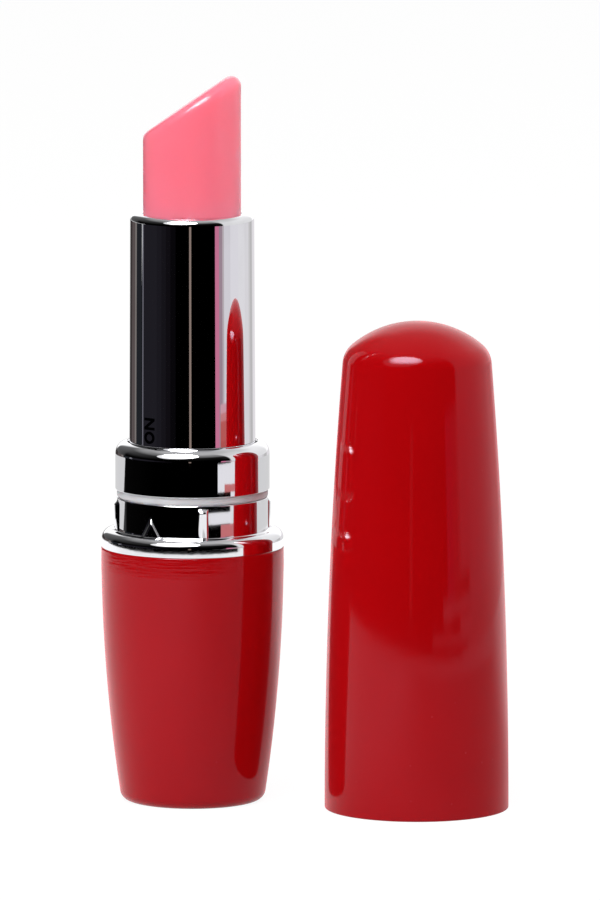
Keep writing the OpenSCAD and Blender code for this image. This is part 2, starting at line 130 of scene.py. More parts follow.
def colour(name, description, *parts):
    """A colour property, given as a colour on screen from 0 to 255."""
    tone = [linear(part) for part in parts]
    return FloatVectorProperty(
        name=name, description=description, default=tone, subtype="COLOR", size=3, min=0, max=1
    )


class MassagerForm(bpy.types.PropertyGroup):
    """Sizes of the visible pieces that the frame doesn't give."""

    steps: whole("Steps", "Sides of each turned piece", 256, 48)
    cup_draw: length("Cup draw", "How far the cup's side draws in towards its foot", 2.45)
    cup_wall: length("Cup wall", "Wall of the base cup", 1.5)
    cup_floor: length("Cup floor", "Thickness of the cup's floor", 1.6)
    cup_edge: length("Cup edge", "Rounding round the cup's foot", 1.3)
    cap_draw: length("Cap draw", "How far the cap's side draws in towards its shoulder", 2.24)
    cap_wall: length("Cap wall", "Wall of the cap", 1.5)
    cap_dome_h: length("Dome height", "Height of the cap's domed end above its shoulder", 4.5)
    cap_dome_r: length("Dome radius", "Radius of the cap's domed end", 12.5)
    cap_edge: length("Cap edge", "Rounding between the cap's side and its dome", 3.2)
    lead_h: length("Lead height", "Height of the cup's slightly drawn-in mouth", 2.8)
    lead_in: length("Lead", "How far the cup's mouth draws in over that height", 0.018)
    rim_edge: length("Rim edge", "Rounding of the open rims", 0.2)
    flange_h: length("Flange height", "Height of the lower collar's flange", 2.2)
    flange_edge: length("Flange edge", "Rounding of the flange's top edge", 1.1)
    collar_wall: length("Collar wall", "Wall of the lower collar round the thread", 1.4)
    rib_w: length("Rib width", "Width of a grip rib", 1.25)
    rib_out: length("Rib height", "How far a grip rib stands out", 0.42)
    rib_lean: length("Rib lean", "How much further a rib stands out at its top", 0.08)
    rib_short: length("Rib end", "How far a rib stops short of the collar's top", 0.25)
    rib_count: whole("Ribs", "Number of grip ribs", 4, 1)
    rib_angle: angle("Rib angle", "Angle of the first rib from the front", 8.5)
    pointer_w: length("Pointer width", "Width of the raised pointer", 2.9)
    pointer_h: length("Pointer height", "Height of the raised pointer", 2.5)
    pointer_out: length("Pointer relief", "How far the pointer stands out", 0.36)
    pointer_bevel: length("Pointer bevel", "Width of the pointer's long slope", 0.8)
    pointer_angle: angle("Pointer angle", "Angle of the pointer from the front", -33)
    tube_gap: length("Tube gap", "Gap between the tube and the upper collar's bore", 0.08)
    upper_edge: length("Upper collar edge", "Rounding of its top outer edge", 1.5)
    upper_lip: length("Upper collar lip", "Rounding of its top inner edge", 0.2)
    ledge: length("Ledge", "Thickness of the ledge that the tube stands on", 0.55)
    tube_draft: length("Tube draft", "How much wider the tube is at its foot", 0.17)
    tube_bore: length("Tube bore", "Bore of the tube", 6.35)
    tube_edge: length("Tube edge", "Rounding of the tube's mouth", 0.9)
    lip_h: length("Lip height", "Height of the lip at the tube's mouth", 1.2)
    mark_h: length("Mark height", "Height of the switch mark's letters", 1.65)
    mark_l: length("Mark length", "Length of the switch mark's word", 3.2)
    mark_stroke: length("Mark stroke", "Width of a stroke of the letters", 0.33)
    mark_relief: length("Mark relief", "How far the letters stand out", 0.05)
    mark_foot: length("Mark foot", "Gap between the upper collar and the word", 0.35)
    mark_angle: angle("Mark angle", "Angle of the word from the front", -42.5)
    tip_slant: angle("Tip slant", "Slant of the tip's face", 34.6)
    tip_turn: angle("Tip turn", "Angle that the slanted face is turned by", -7)
    tip_edge: length("Tip edge", "Rounding round the slanted face", 1.2)
    stem_r: length("Tip radius", "Radius of the soft tip", 6.05)
    pitch: length("Thread pitch", "Rise of the screw in one turn", 2.0)
    thread_h: length("Thread height", "Height of the screw's ridge on the chassis", 0.36)
    groove: length("Inner thread", "Height of the screw's ridge in the lower collar", 0.3)
    wire: length("Spring wire", "Radius of the spring's wire", 0.25)
    spring_wide: length("Spring foot", "Radius of the spring's lowest turn", 4.6)
    spring_narrow: length("Spring head", "Radius of the spring's highest turn", 2.2)
    turns: amount("Spring turns", "Turns of the conical spring", 4.5, most=20)


class MassagerFinish(bpy.types.PropertyGroup):
    """Colours and gloss of the pieces."""

    red: colour("Red", "Colour of the moulded cup and cap", 174, 4, 9)
    chrome: colour("Chrome", "Tint of the plated pieces", 238, 238, 241)
    pink: colour("Pink", "Colour of the soft tip", 254, 125, 145)
    seal: colour("Seal", "Colour of the seal ring", 205, 205, 209)
    mark: colour("Mark", "Colour of the switch mark", 1, 1, 2)
    ivory: colour("Inner plastic", "Colour of the inner mouldings", 226, 225, 217)
    wrap: colour("Cell wrap", "Colour of the cell's wrap", 40, 58, 92)
    band: colour("Cell band", "Colour of the band round the cell's top", 188, 142, 70)
    steel: colour("Steel", "Colour of the plain metal pieces", 176, 178, 181)
    brass: colour("Brass", "Colour of the contacts", 201, 166, 92)
    gloss: amount("Gloss", "Roughness of the red moulding", 0.05)
    polish: amount("Polish", "Roughness of the chrome", 0.012)
    wear: amount("Wear", "Strength of scuffs, smears and dust", 1.0, most=2)


class MassagerStudio(bpy.types.PropertyGroup):
    """The camera and the light."""

    distance: length("Distance", "From the camera to the object", 1483.6)
    elevation: angle("Elevation", "Height of the camera as an angle", 7.8)
    lens: FloatProperty(name="Lens", description="Focal length", default=480, unit="CAMERA")
    aim: FloatVectorProperty(
        name="Aim",
        description="Point that the camera looks at",
        default=(0.0133, 0, 0.04366),
        subtype="TRANSLATION",
    )
    key: amount("Key", "Power of the main light", 1.5, most=50)
    cloth: amount("Cloth", "Brightness of the softbox's middle", 26.0, most=200)
    snoot: amount("Tip light", "Power of the narrow light on the tip", 19, most=200)
    fill: amount("Fill", "Power of the broad side light", 1.6, most=50)
    ambient: amount("Ambient", "Light from all round", 0.36)
    floor_near: length("Floor front", "How far the round front of the floor reaches", 232)
    floor_far: length("Floor depth", "How far the floor reaches behind and to the right", 1600)
    card_away: length("Card distance", "From the object to the upright cards round it", 330)
    card_high: length("Card height", "Height of the upright cards", 50)


# ---- Materials ----


class Value:
    """One output of a material's node, which Python sums can be written with."""

    def __init__(self, sheet, socket):
        self.sheet = sheet
        self.socket = socket

    def _math(self, operation, *parts):
        return self.sheet.put("ShaderNodeMath", dict(enumerate(parts)), operation=operation)

    def __add__(self, other):
        return self._math("ADD", self, other)

    def __sub__(self, other):
        return self._math("SUBTRACT", self, other)

    def __rsub__(self, other):
        return self._math("SUBTRACT", other, self)

    def __mul__(self, other):
        return self._math("MULTIPLY", self, other)

    def __truediv__(self, other):
        return self._math("DIVIDE", self, other)

    def __pow__(self, other):
        return self._math("POWER", self, other)

    def __gt__(self, other):
        return self._math("GREATER_THAN", self, other)

    __radd__ = __add__
    __rmul__ = __mul__

    def rise(self, start, end):
        """0 up to start, 1 from end on, and smooth between them."""
        return self.sheet.put(
            "ShaderNodeMapRange",
            {"Value": self, "From Min": start, "From Max": end},
            interpolation_type="SMOOTHSTEP",
        )


class Sheet:
    """A node tree that is being filled in over some coordinates."""

    def __init__(self, tree, coordinates="Object"):
        self.tree = tree
        tree.nodes.clear()
        self.where = self.put("ShaderNodeTexCoord", output=coordinates)

    def put(self, kind, sockets=None, output=0, **settings):
        """Adds a node: first its settings, then the values or links of its sockets."""
        node = self.tree.nodes.new(kind)
        for name, setting in settings.items():
            if name == "stops":
                self._stops(node.color_ramp, setting)
            else:
                setattr(node, name, setting)
        for name, value in (sockets or {}).items():
            socket = self._socket(node.inputs, name)
            if isinstance(value, Value):
                self.tree.links.new(value.socket, socket)
            else:
                socket.default_value = value
        return Value(self, self._socket(node.outputs, output)) if node.outputs else None

    @staticmethod
    def _socket(sockets, name):
        if isinstance(name, int):
            return sockets[name]
        for socket in sockets:
            if socket.identifier == name:
                return socket
        return sockets[name]

    @staticmethod
    def _stops(ramp, stops):
        while len(ramp.elements) > 1:
            ramp.elements.remove(ramp.elements[-1])
        for index, (place, shade) in enumerate(stops):
            stop = ramp.elements[0] if index == 0 else ramp.elements.new(place)
            stop.position = place
            stop.color = (*shade, 1)

    def noise(self, scale, detail=2.0, stretch=None):
        """Soft noise from 0 to 1. stretch scales its coordinates along each axis."""
        where = self.where
        if stretch:
            where = self.put("ShaderNodeVectorMath", {0: where, 1: stretch}, operation="MULTIPLY")
        return self.put("ShaderNodeTexNoise", {"Vector": where, "Scale": scale, "Detail": detail})

    def blend(self, base, top, share):
        """A colour that goes from base to top as share goes from 0 to 1."""
        return self.put(
            "ShaderNodeMix",
            {"Factor_Float": share, "A_Color": _shade(base), "B_Color": _shade(top)},
            "Result_Color",
            data_type="RGBA",
            clamp_factor=True,
        )

    def axis(self, name):
        """The place along one axis."""
        return self.put("ShaderNodeSeparateXYZ", {"Vector": self.where}, name)

    def ray(self, kind):
        """1 for the rays of one kind, and 0 for the others."""
        return self.put("ShaderNodeLightPath", output=f"Is {kind} Ray")

    def glow(self, shade, strength=1.0):
        """A shader that gives off light."""
        return self.put("ShaderNodeEmission", {"Color": _shade(shade), "Strength": strength})

    def end(self, shader, kind="Material"):
        """Ends the tree in its output."""
        self.put(f"ShaderNodeOutput{kind}", {"Surface": shader})


def _shade(value):
    if isinstance(value, Value):
        return value
    return (value,) * 3 + (1,) if isinstance(value, (int, float)) else (*value[:3], 1)


class Finish(Sheet):
    """A material, written as a sheet of nodes that ends in one shader."""

    def __init__(self, name):
        self.material = bpy.data.materials.new(name)
        self.material.use_nodes = True
        super().__init__(self.material.node_tree)

    def surface(self, bump, height, **sockets):
        """Ends the sheet in a Principled shader, with a bump of the given height."""
        named = {name.replace("_", " "): value for name, value in sockets.items()}
        named["Normal"] = self.put(
            "ShaderNodeBump", {"Height": bump, "Strength": 1.0, "Distance": height}, "Normal"
        )
        self.end(self.put("ShaderNodeBsdfPrincipled", named))
        return self.material


def once(make):
    """Keeps each finish, so that pieces with the same one share it."""
    kept = {}

    def finish(*choices):
        if choices not in kept:
            kept[choices] = make(*choices)
        return kept[choices]

    return finish


def finishes():
    """The colours and gloss in use."""
    return bpy.context.scene.massager_finish


def dim(tone, share):
    """A colour with only a share of its light."""
    return [part * share for part in tone]


@once
def red_moulding(name, rub_low, rub_high):
    """Glossy red moulding, with dust, and fine level scuffs between two heights."""
    look = finishes()
    sheet = Finish(name)
    height = sheet.axis("Z")
    cloud = sheet.noise(70, 3)
    fine = sheet.noise(900)
    lines = sheet.noise(1, 3, (60, 60, 5200))
    patches = sheet.noise(230)
    zone = height.rise(rub_low, rub_high) * patches.rise(0.44, 0.62)
    scuff = lines.rise(0.6, 0.68) * zone * look.wear
    grit = sheet.put(
        "ShaderNodeTexVoronoi", {"Vector": sheet.where, "Scale": 520}, "Distance", feature="F1"
    )
    specks = 1 - grit.rise(0.05, 0.085)
    dust = specks * sheet.noise(45).rise(0.55, 0.72) * look.wear
    deep = sheet.blend(look.red, dim(look.red, 0.86), cloud)
    level = sheet.noise(1, 3, (200, 200, 2800))
    streaks = level * height.rise(rub_low - 1 * MM, rub_low + 1 * MM) * 4.5 * look.wear
    return sheet.surface(
        Base_Color=sheet.blend(deep, (0.62, 0.10, 0.12), scuff * 0.4 + dust * 0.16),
        Roughness=look.gloss + cloud * 0.03 + scuff * 0.22 + dust * 0.15,
        IOR=1.31,
        Specular_Tint=(0.78, 0.78, 1.0, 1.0),
        Sheen_Weight=1.0,
        Sheen_Roughness=0.3,
        Sheen_Tint=(1.0, 0.1, 0.13, 1.0),
        bump=fine * 0.5 + cloud * 0.5 - scuff * 0.6 + streaks,
        height=0.004 * MM,
    )


@once
def chrome_plate():
    """Bright plating over a moulding, with faint smears."""
    look = finishes()
    sheet = Finish("chrome_plate")
    smear = sheet.noise(260, 3, (1, 1, 0.35))
    haze = smear.rise(0.5, 0.8) * look.wear
    return sheet.surface(
        Base_Color=sheet.blend(look.chrome, dim(look.chrome, 0.93), haze),
        Metallic=1.0,
        Roughness=look.polish + haze * 0.012 + sheet.noise(1500) * 0.006,
        bump=smear,
        height=0.0015 * MM,
    )


@once
def soft_skin():
    """Pink silicone that light goes into, with a fine satin skin."""
    look = finishes()
    sheet = Finish("pink_silicone")
    cloud = sheet.noise(120, 3)
    pores = sheet.noise(2600)
    return sheet.surface(
        Base_Color=sheet.blend(look.pink, dim(look.pink, 0.92), cloud * 0.6),
        Roughness=0.13 + pores * 0.06 + cloud * 0.04,
        Subsurface_Weight=0.9,
        Subsurface_Radius=(1.0, 0.45, 0.42),
        Subsurface_Scale=7 * MM,
        IOR=1.41,
        bump=pores,
        height=0.003 * MM,
    )


@once
def seal_rubber():
    """Pale seal rubber with a slight moulding grain."""
    look = finishes()
    sheet = Finish("seal_rubber")
    grain = sheet.noise(3200)
    return sheet.surface(
        Base_Color=sheet.blend(look.seal, dim(look.seal, 0.85), sheet.noise(420, 3)),
        Roughness=0.4 + grain * 0.15,
        Subsurface_Weight=0.1,
        Subsurface_Scale=0.6 * MM,
        bump=grain,
        height=0.004 * MM,
    )


@once
def switch_paint():
    """Black paint of the switch mark."""
    look = finishes()
    sheet = Finish("mark_paint")
    grain = sheet.noise(2400)
    return sheet.surface(
        Base_Color=sheet.blend(look.mark, dim(look.mark, 0.5), grain),
        Roughness=0.6 + grain * 0.15,
        Specular_IOR_Level=0.0,
        bump=grain,
        height=0.003 * MM,
    )


@once
def inner_moulding(name, tone, rough):
    """Satin inner plastic, with flow marks along its length."""
    sheet = Finish(name)
    flow = sheet.noise(180, 3, (3, 3, 1))
    spark = sheet.noise(4200)
    return sheet.surface(
        Base_Color=sheet.blend(tone, dim(tone, 0.88), flow),
        Roughness=rough + spark * 0.12,
        bump=spark * 0.7 + flow * 0.3,
        height=0.006 * MM,
    )


@once
def plain_metal(name, tone, rough, turned):
    """Bare metal with fine lines round it, or drawn along it, and a little tarnish."""
    sheet = Finish(name)
    factors = (400, 400, 6000) if turned else (5000, 5000, 260)
    lines = sheet.noise(1, 3, factors)
    stain = sheet.noise(380, 3).rise(0.45, 0.8)
    return sheet.surface(
        Base_Color=sheet.blend(tone, dim(tone, 0.7), stain),
        Metallic=1.0,
        Roughness=rough + lines * 0.18,
        bump=lines,
        height=0.003 * MM,
    )


@once
def cell_wrap(bottom, top):
    """The cell's printed film: a plain field, and a plain band round the top."""
    look = finishes()
    sheet = Finish("cell_wrap")
    height = sheet.axis("Z")
    span = top - bottom
    band = height > top - span * 0.24
    line = (height > top - span * 0.26) - band
    crease = sheet.noise(700, stretch=(1, 1, 0.2))
    return sheet.surface(
        Base_Color=sheet.blend(sheet.blend(look.wrap, look.band, band), 0.75, line),
        Metallic=band * 0.6,
        Roughness=0.24 + crease * 0.12,
        bump=crease,
        height=0.01 * MM,
    )


# ---- Meshes ----


def evenly(start, end, steps):
    """Numbers from start to end in even steps."""
    return [start + (end - start) * step / steps for step in range(steps + 1)]


def fillet(corners, facets=9):
    """The outline through corners, with an arc at each one that has a third number, its radius."""
    points = []
    places = [Vector(corner[:2]) for corner in corners]
    for index, (here, corner) in enumerate(zip(places, corners)):
        if len(corner) < 3:
            points.append(here)
            continue
        radius = corner[2]
        back = (places[index - 1] - here).normalized()
        ahead = (places[(index + 1) % len(places)] - here).normalized()
        opening = back.angle(ahead) / 2
        run = radius / tan(opening)
        centre = here + (back + ahead).normalized() * radius / sin(opening)
        start = here + back * run - centre
        end = here + ahead * run - centre
        points.append(centre + start + back * HOLD)
        turn = start.angle(end)
        for done in evenly(0, turn, facets):
            points.append(centre + (start * sin(turn - done) + end * sin(done)) / sin(turn))
        points.append(centre + end + ahead * HOLD)
    kept = []
    for point in points:
        if not kept or (point - kept[-1]).length > HOLD / 4:
            kept.append(point)
    return kept


def bowed(mouth, height, draw, lowest, facets=28):
    """Points down a side that is upright at its mouth and draws in to its foot, down to a height."""
    radius = (height * height + draw * draw) / (2 * draw)
    side = [
        (mouth - radius + sqrt(radius * radius - drop * drop), height - drop)
        for drop in evenly(0, height, facets)
    ]
    return [point for point in side if point[1] > lowest]


def edged(points, radius):
    """The same points, with a rounding at the first."""
    return [(*points[0], radius), *points[1:]]


def even_angles(steps):
    """Angles round a whole turn, from the front."""
    return evenly(0, tau, steps)[:-1]


def apart(turn, other):
    """How far one angle is round from another, up to half a turn either way."""
    return (turn - other + pi) % tau - pi


def around(turn, radius, height=0):
    """The point at an angle from the front, a radius and a height."""
    return Vector((radius * cos(turn + FRONT), radius * sin(turn + FRONT), height))


def smooth(share):
    """A share from 0 to 1 eased at both ends, and held outside them."""
    share = min(max(share, 0), 1)
    return share * share * (3 - 2 * share)


def ridge(turn, height, start, pitch, steep, flat):
    """Share of a screw's ridge at a point: 1 along its crest and 0 between its turns."""
    phase = ((height - start) / pitch - turn / tau) % 1
    return smooth((0.5 - abs(phase - 0.5)) * steep - flat)


def fade(height, start, end):
    """1 between two heights, and less near them."""
    return smooth((height - start) / RUN_OUT) * smooth((end - height) / RUN_OUT)


def placed(mesh, material):
    """An object in the scene that shows a mesh in a material."""
    mesh.materials.append(material)
    piece = bpy.data.objects.new(mesh.name, mesh)
    bpy.context.scene.collection.objects.link(piece)
    return piece


def new_piece(name, vertices, faces, material):
    """A smooth mesh object."""
    mesh = bpy.data.meshes.new(name)
    mesh.from_pydata([tuple(vertex) for vertex in vertices], [], faces)
    mesh.validate()
    mesh.polygons.foreach_set("use_smooth", [True] * len(mesh.polygons))
    return placed(mesh, material)


def face_outward(piece):
    """Turns every face of a closed mesh to the outside."""
    work = bmesh.new()
    work.from_mesh(piece.data)
    bmesh.ops.recalc_face_normals(work, faces=work.faces)
    work.to_mesh(piece.data)
    work.free()
    return piece


def between_rows(rows, columns, loop=False):
    """Faces between neighbouring rows that run round, and from the last to the first if loop."""
    faces = []
    for row in range(rows if loop else rows - 1):
        start = row * columns
        after = (row + 1) % rows * columns
        for column in range(columns):
            beside = (column + 1) % columns
            faces.append((start + column, start + beside, after + beside, after + column))
    return faces


def fan(start, columns, apex):
    """Faces from a row that runs round to one point."""
    return [(start + column, start + (column + 1) % columns, apex) for column in range(columns)]


def lathe(name, outline, material, angles, centre=(0, 0, 0), shape=None):
    """Turns an outline of (radius, height) round an upright axis. shape may move each point out.

    An outline that starts on the axis also ends on it and makes a solid. Any other makes a ring.
    """
    solid = abs(outline[0][0]) < HOLD / 2
    rows = outline[1:-1] if solid else outline
    centre = Vector(centre)
    vertices = []
    for radius, height in rows:
        for turn in angles:
            out = radius + (shape(turn, radius, height) if shape else 0)
            vertices.append(centre + around(turn, out, height))
    faces = between_rows(len(rows), len(angles), loop=not solid)
    if solid:
        for row, pole in ((0, outline[0]), (len(rows) - 1, outline[-1])):
            faces.extend(fan(row * len(angles), len(angles), len(vertices)))
            vertices.append(centre + Vector((0, 0, pole[1])))
    return face_outward(new_piece(name, vertices, faces, material))


def stand(piece, body, slot, *nodes):
    """The piece rides on a body and stands for these nodes. slot is not used."""
    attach(piece, body)
    if nodes:
        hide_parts(*nodes)


# ---- Pieces ----


class PieceOperator(bpy.types.Operator):
    """What every piece's operator shares."""

    bl_options = {"REGISTER", "UNDO"}

    def execute(self, context):
        self.make(context.scene.massager_form)
        return {"FINISHED"}


class MASSAGER_OT_base_cup(PieceOperator):
    """Turns the red base cup, open at the top"""

    bl_idname = "massager.base_cup"
    bl_label = "Base cup"

    def make(self, size):
        top = high("base_cup")
        mouth = reach("base_cup")
        drawn = top - size.lead_h
        lead_steps = 8
        lead = [
            (mouth - size.lead_in * share**2, drawn + size.lead_h * share)
            for share in evenly(1, 0, lead_steps)
        ]
        side = bowed(mouth, top, size.cup_draw, size.cup_edge * 1.4)
        outer = edged([*lead, *[point for point in side if point[1] < drawn]], size.rim_edge)
        bore = mouth - size.cup_wall
        inner = bowed(bore, top, size.cup_draw, size.cup_floor + size.cup_edge)
        corners = [
            (0, 0),
            (mouth - size.cup_draw, 0, size.cup_edge),
            *outer[::-1],
            *edged(inner, size.rim_edge),
            (inner[-1][0] - size.cup_edge * 0.1, size.cup_floor, size.cup_edge / 2),
            (0, size.cup_floor),
        ]
        red = red_moulding("red_cup_moulding", drawn, top)
        cup = lathe("red_cup", fillet(corners), red, even_angles(size.steps))
        stand(cup, "base", "red_gloss", "base_cup")


class MASSAGER_OT_cap(PieceOperator):
    """Turns the red domed cap, open at the bottom"""

    bl_idname = "massager.cap"
    bl_label = "Cap"

    def side(self, size, wall):
        """The cap's side, shoulder and dome, thinned by wall all round, from mouth to apex."""
        top = high("cap_shell")
        shoulder = top - size.cap_dome_h
        run = size.cap_draw
        arc = (shoulder * shoulder + run * run) / (2 * run) - wall
        hub = reach("cap_shell") - wall - arc
        dome = size.cap_dome_r - wall
        centre = top - size.cap_dome_r
        edge = size.cap_edge
        span = hypot(hub, centre)
        along = ((arc - edge) ** 2 - (dome - edge) ** 2 + span * span) / (2 * span)
        across = sqrt((arc - edge) ** 2 - along * along)
        corner = Vector((hub - (along * hub + across * centre) / span, 0))
        corner.y = (along * centre - across * hub) / span
        lean = asin(corner.y / (arc - edge))
        spread = asin(corner.x / (dome - edge))
        side_steps, bend_steps, cover_steps = 30, 12, 24
        side = evenly(0, lean, side_steps)
        bend = evenly(lean, pi / 2 - spread, bend_steps)[1:-1]
        cover = evenly(spread, 0, cover_steps)
        return [
            *[(hub + arc * cos(turn), arc * sin(turn)) for turn in side],
            *[(corner.x + edge * cos(turn), corner.y + edge * sin(turn)) for turn in bend],
            *[(dome * sin(turn), centre + dome * cos(turn)) for turn in cover],
        ]

    def make(self, size):
        outer = edged(self.side(size, 0), size.rim_edge)
        inner = edged(self.side(size, size.cap_wall), size.rim_edge)
        outline = fillet([*outer[::-1], *inner])
        scuffs = (1.0, 2.0)  # heights far above the cap, which has no scuffs
        red = red_moulding("red_cap_moulding", *scuffs)
        cap = lathe("red_cap", outline, red, even_angles(size.steps), middle("cap_shell"))
        stand(cap, "cap", "red_gloss", "cap_shell")


def fine_angles(windows, steps, fine):
    """Angles round a whole turn, with fine ones inside each window (centre, half width)."""
    kept = [
        turn
        for turn in even_angles(steps)
        if all(abs(apart(turn, centre)) > half for centre, half in windows)
    ]
    for centre, half in windows:
        inside = evenly(centre - half, centre + half, int(2 * half / fine))
        kept.extend(turn % tau for turn in inside)
    return sorted(kept)


class MASSAGER_OT_lower_collar(PieceOperator):
    """Forms the chrome flange and collar with its grip ribs, its pointer and its screw thread"""

    bl_idname = "massager.lower_collar"
    bl_label = "Lower collar"

    def make(self, size):
        top = high("lower_collar")
        foot = low("lower_collar")
        flange_r = reach("lower_collar")
        flange_foot = high("base_cup")
        flange = flange_foot + size.flange_h
        collar = reach("seal_ring")
        bore = collar - size.collar_wall
        spigot = flange_r - size.cup_wall
        lead_in = foot + 6 * EASE
        thread_foot = low("chassis") - size.pitch / 2
        ribs = [size.rib_angle + turn for turn in even_angles(size.rib_count)]

        def rib(turn, height):
            across = min(abs(apart(turn, centre)) for centre in ribs) * collar / (size.rib_w / 2)
            if across >= 1:
                return 0
            end = smooth((top - size.rib_short - height) / (1.6 * size.rib_out))
            lean = size.rib_lean * (top - height) / (top - flange)
            return (size.rib_out - lean) * sqrt(1 - across * across) * end

        def pointer(turn, height):
            slope = size.pointer_h / (size.pointer_w / 2)
            across = apart(turn, size.pointer_angle) * collar * slope
            down = size.pointer_h - (height - flange)
            left = (down + across) / sqrt(1 + slope * slope) / size.pointer_bevel
            right = 4 * (down - across) / sqrt(1 + slope * slope) / size.pointer_bevel
            return size.pointer_out * min(smooth(left), smooth(right))

        def thread(turn, radius, height):
            if abs(radius - bore) > HOLD:
                return 0
            crest = ridge(turn, height, thread_foot, size.pitch, steep=5, flat=0.6)
            return -size.groove * crest * fade(height, foot + 2 * RUN_OUT, top - RUN_OUT)

        def relief(turn, radius, height):
            if radius < collar - HOLD or height < flange - HOLD:
                return thread(turn, radius, height)
            if radius > collar + HOLD:
                return 0
            return max(rib(turn, height), pointer(turn, height))

        end = 2 * EASE
        wall_rows, bore_rows = 84, 110
        corners = [
            (spigot - 1.5 * EASE, foot),
            (spigot, lead_in),
            (spigot + 0.7 * EASE, flange_foot - EASE),
            (flange_r, flange_foot, EASE),
            (flange_r, flange, size.flange_edge),
            *[(collar, height) for height in evenly(flange, top - end, wall_rows)],
            (collar, top, 1.2 * EASE),
            *[(bore, height) for height in evenly(top - end, foot + end, bore_rows)],
            (bore, foot, EASE),
        ]
        # Each window is a little wider than the relief in it
        windows = [(centre, 1.15 * size.rib_w / 2 / collar) for centre in ribs]
        windows.append((size.pointer_angle, 1.1 * size.pointer_w / 2 / collar))
        steps, fine = 150, 0.045 * MM / collar
        angles = fine_angles(windows, steps, fine)
        outline = fillet(corners, facets=14)
        piece = lathe("lower_chrome_collar", outline, chrome_plate(), angles, shape=relief)
        stand(piece, "base", "chrome_plate", "lower_collar")


class MASSAGER_OT_seal_ring(PieceOperator):
    """Turns the pale seal ring between the collars"""

    bl_idname = "massager.seal_ring"
    bl_label = "Seal ring"

    def make(self, size):
        outer = reach("seal_ring")
        inner = outer - size.collar_wall
        foot = low("seal_ring")
        top = high("seal_ring")
        swell = 2.8 * EASE
        corners = [(inner, foot, EASE), (outer, foot, swell), (outer, top, swell), (inner, top, EASE)]
        ring = lathe("seal", fillet(corners), seal_rubber(), even_angles(size.steps))
        stand(ring, "tube_unit", "seal_rubber", "seal_ring")


class MASSAGER_OT_upper_collar(PieceOperator):
    """Turns the chrome collar with the rolled top"""

    bl_idname = "massager.upper_collar"
    bl_label = "Upper collar"

    def make(self, size):
        foot = low("upper_collar")
        top = high("upper_collar")
        crest = reach("upper_collar")
        bore = reach("tube_sleeve") + size.tube_gap
        corners = [
            (size.tube_bore, foot, EASE),
            (crest, foot, EASE / 2),
            (crest, top, size.upper_edge),
            (bore, top, size.upper_lip),
            (bore, foot + size.ledge),
            (size.tube_bore, foot + size.ledge, EASE),
        ]
        outline = fillet(corners, facets=16)
        piece = lathe("upper_chrome_collar", outline, chrome_plate(), even_angles(size.steps))
        stand(piece, "tube_unit", "chrome_plate", "upper_collar")


def letter_o(width, height, stroke):
    """The outline of a round letter, as an outer and an inner loop of points."""
    sides = 64

    def loop(inset):
        return [
            (
                width / 2 + (width / 2 - inset) * cos(turn),
                height / 2 + (height / 2 - inset) * sin(turn),
            )
            for turn in even_angles(sides)
        ]

    return loop(0), loop(stroke)


def letter_n(width, height, stroke):
    """The outline of a letter with two upright strokes and a slanting one."""
    lean = stroke * 1.6875  # height of the slanting stroke where it meets an upright one
    half = [(0, 0), (stroke, 0), (stroke, height - lean), (width - stroke, 0), (width, 0)]
    return half + [(width - across, height - up) for across, up in half]


